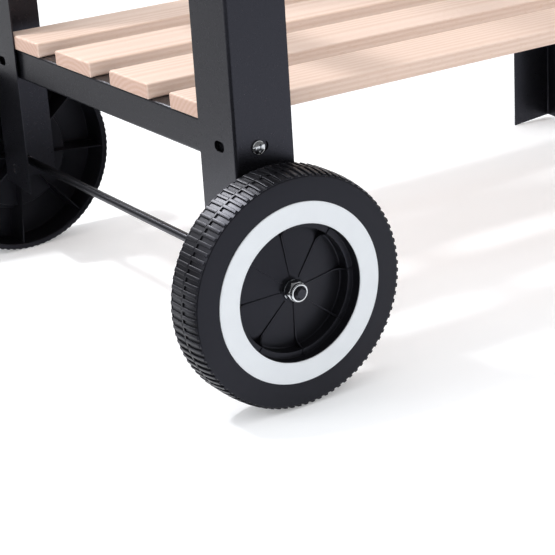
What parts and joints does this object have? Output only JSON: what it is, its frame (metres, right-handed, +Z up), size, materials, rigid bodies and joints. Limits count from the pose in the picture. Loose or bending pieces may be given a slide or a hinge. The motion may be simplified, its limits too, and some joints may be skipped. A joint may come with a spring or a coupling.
{
  "type": "wheeled firewood log rack",
  "caption": "Open firewood rack of black angle posts and cross rails with a pale slatted deck, and an axle with white-ringed wheels at one end so that it can be tipped and rolled.",
  "frame": {"origin": "on the floor, at the middle of the bounding box", "axes": "+X from the wheel end to the foot end, +Y across to the rack's left side, +Z up"},
  "size_m": [0.812, 0.5554, 0.82],
  "materials": {
    "powder_coat": "satin black powder coat on sheet steel",
    "axle_paint": "semi-gloss black paint",
    "slat_wood": "planed pale hardwood",
    "zinc_plate": "bright zinc plate",
    "nylon": "dark nylon",
    "wheel_moulding": "moulded black plastic",
    "ring_white": "satin white plastic"
  },
  "bodies": {
    "rack": {"wheel_post_right": "powder_coat", "wheel_post_left": "powder_coat", "foot_post_right": "powder_coat", "foot_post_left": "powder_coat", "deck_rail_wheel_end": "powder_coat", "deck_rail_foot_end": "powder_coat", "middle_rail_wheel_end": "powder_coat", "middle_rail_foot_end": "powder_coat", "top_rail_wheel_end": "powder_coat", "top_rail_foot_end": "powder_coat", "deck_slat_1": "slat_wood", "deck_slat_2": "slat_wood", "deck_slat_3": "slat_wood", "deck_slat_4": "slat_wood", "top_slat_right": "slat_wood", "top_slat_left": "slat_wood", "rail_bolts": "zinc_plate", "rail_nuts": "zinc_plate", "deck_slat_screws": "zinc_plate", "top_slat_screws": "zinc_plate", "inner_washers": "zinc_plate", "outer_washers": "zinc_plate", "lock_nuts": "zinc_plate", "lock_nut_inserts": "nylon", "axle": "axle_paint"},
    "left_wheel": {"wheel_left": "wheel_moulding", "wheel_ring_left": "ring_white"},
    "right_wheel": {"wheel_right": "wheel_moulding", "wheel_ring_right": "ring_white"}
  },
  "joints": [
    {"name": "left_wheel_spin", "type": "hinge", "parent": "rack", "child": "left_wheel", "pos_m": [-0.306, 0.2582, 0.1], "axis": [0, 1, 0], "continuous": true},
    {"name": "right_wheel_spin", "type": "hinge", "parent": "rack", "child": "right_wheel", "pos_m": [-0.306, -0.2582, 0.1], "axis": [0, 1, 0], "continuous": true}
  ]
}
